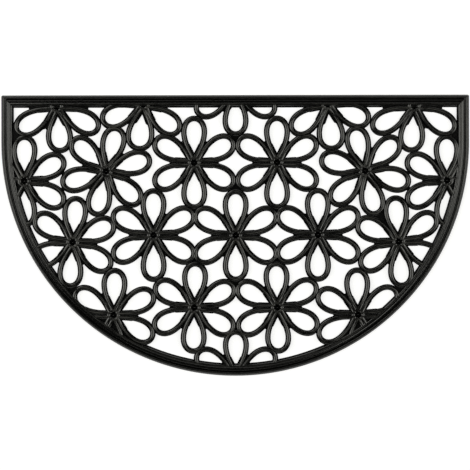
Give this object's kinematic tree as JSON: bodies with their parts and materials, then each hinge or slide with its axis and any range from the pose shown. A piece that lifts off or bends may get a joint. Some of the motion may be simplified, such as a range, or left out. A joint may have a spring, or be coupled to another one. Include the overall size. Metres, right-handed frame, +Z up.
{
  "type": "half moon doormat",
  "caption": "Half moon doormat moulded in black rubber, an openwork of six-petalled flowers inside a ridged rim.",
  "frame": {"origin": "on the floor, at the middle of the mat's rectangular footprint", "axes": "+X along the straight edge, +Y towards the straight edge, +Z up"},
  "size_m": [0.762, 0.4572, 0.009],
  "materials": {
    "rubber": "moulded black rubber with a fine satin grain"
  },
  "bodies": {
    "root": {"mat": "rubber"}
  },
  "joints": []
}
